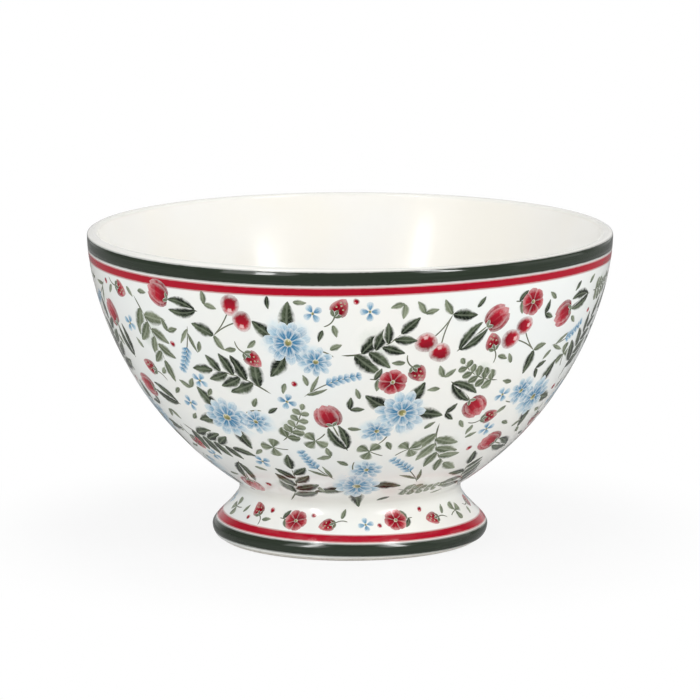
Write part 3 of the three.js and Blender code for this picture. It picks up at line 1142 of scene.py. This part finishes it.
def setCamera():
    data = bpy.data.cameras.new("camera")
    data.sensor_width = cameraPlan["sensor"]
    data.lens = cameraPlan["focalPixels"] / cameraPlan["imagePixels"] * data.sensor_width
    data.clip_start, data.clip_end = cameraPlan["clip"]
    camera = newObject("camera", data)
    camera.location = (0, -cameraPlan["distance"], cameraPlan["height"])
    camera.rotation_euler = (math.radians(90 - cameraPlan["pitch"]), 0, 0)
    bpy.context.scene.camera = camera


lightPlan = {  # azimuth from the camera, elevation, distance, width, height, watts, and what it is for
    "leftBox": (-41, 30, 1.2, 0.65, 0.88, 3.6, "both"),
    "leftStrip": (-38, 40, 1.18, 0.16, 1.00, 7.0, "mirror"),
    "rightBox": (42, 36, 1.2, 0.38, 0.70, 2.9, "both"),
    "rightStrip": (46, 43, 1.18, 0.16, 0.85, 5.6, "mirror"),
    "frontFill": (0, 6, 1.2, 0.8, 0.5, 2.3, "light"),
    "rightFill": (70, 12, 1.2, 0.8, 0.8, 2.9, "light"),
    "rightPanel": (98, 15, 1.2, 1.0, 0.9, 1.4, "both"),
    "leftFill": (-72, 12, 1.2, 0.8, 0.8, 1.7, "light"),
    "topFill": (0, 85, 1.2, 0.8, 0.8, 1.5, "light"),
}
aim = np.array([0, 0, 0.045])  # a little above the middle of the bowl


def setLights():
    for name, (azimuth, elevation, distance, width, tall, watts, use) in lightPlan.items():
        a, e = math.radians(azimuth), math.radians(elevation)
        data = bpy.data.lights.new(name, "AREA")
        data.shape, data.size, data.size_y, data.energy = "RECTANGLE", width, tall, watts
        light = newObject(name, data)
        light.location = aim + around(a, math.cos(e), math.sin(e)) * distance
        light.rotation_euler = (math.pi / 2 - e, 0, a)
        light.visible_camera = False
        light.visible_diffuse = use != "mirror"
        light.visible_glossy = use != "light"


pureWhite = (1, 1, 1, 1)
worldPlan = {
    "room": 0.56,  # light from all round
    "roomTint": (0.97, 0.985, 1, 1),
    "dimFront": 0.12,  # what the glaze mirrors of the room in front
    "backdrop": (0.55, 0.97),  # where the white behind the bowl begins and is full, along y
    "mirrored": 0.65,  # share of that white that the glaze shows
}


# camera rays, and rays that mirror or pass on what they meet
def raysOf(tree):
    path = addNode(tree, "LightPath").outputs
    return path["Is Camera Ray"], larger(path["Is Glossy Ray"], path["Is Transmission Ray"])


def mixedLight(share, a, b):
    return addNode(share.id_data, "MixShader", _0=share, _1=a, _2=b).outputs[0]


# white to the camera, and behind the bowl to what mirrors it; elsewhere an even room
def setWorld():
    plan = worldPlan
    world = bpy.data.worlds.new("studio")
    world.use_nodes = True
    tree = world.node_tree
    tree.nodes.clear()
    camera, mirrored = raysOf(tree)
    ray = addNode(tree, "TexCoord").outputs["Generated"]
    back = addNode(tree, "SeparateXYZ", Vector=ray).outputs["Y"]
    turning = span(back, *plan["backdrop"], 0.0, plan["mirrored"])
    levels = (pureWhite, 1.0), (pureWhite, plan["dimFront"]), (plan["roomTint"], plan["room"])
    white, front, room = (
        addNode(tree, "Background", Color=colour, Strength=strength).outputs[0]
        for colour, strength in levels
    )
    unseen = mixedLight(mirrored, room, front)
    share = larger(camera, times(mirrored, turning))
    addNode(tree, "OutputWorld", Surface=mixedLight(share, unseen, white))
    bpy.context.scene.world = world


# floor: pale sheet that shows white to the camera and keeps part of the bowl's shadow near it
floorPlan = {
    "side": 2.5,
    "front": 0.15,
    "shadowShare": 0.15,
    "shadowEnd": (0.06, 0.11),  # the shadow thins out between these distances
    "paper": 0.8,
    "rough": 0.9,
    "mirrored": 0.28,  # share of the white that the glaze shows
}


def setFloor():
    plan = floorPlan
    side, front, paper = plan["side"], plan["front"], plan["paper"]
    mesh = bpy.data.meshes.new("floor")
    corners = [(-side, -front, 0), (side, -front, 0), (side, side, 0), (-side, side, 0)]
    mesh.from_pydata(corners, [], [(0, 1, 2, 3)])
    floor = newObject("floor", mesh)
    material, tree, shader = newMaterial("floorSheet")
    feed(shader, Base_Color=(paper, paper, paper, 1), Roughness=plan["rough"], Specular_IOR_Level=0.0)
    camera, mirrored = raysOf(tree)
    away = addNode(tree, "VectorMath", {"operation": "LENGTH"}, _0=objectPlace(tree))
    white = span(away.outputs["Value"], *plan["shadowEnd"], 1 - plan["shadowShare"])
    level = larger(camera, plan["mirrored"])
    glow = addNode(tree, "Emission", Color=pureWhite, Strength=level).outputs[0]
    share = times(larger(camera, mirrored), white)
    feed(tree.nodes["Material Output"], Surface=mixedLight(share, shader.outputs[0], glow))
    mesh.materials.append(material)


setCamera()
setLights()
setWorld()
setFloor()
bpy.context.scene.view_settings.view_transform = "Standard"
print("camera, light and floor set")
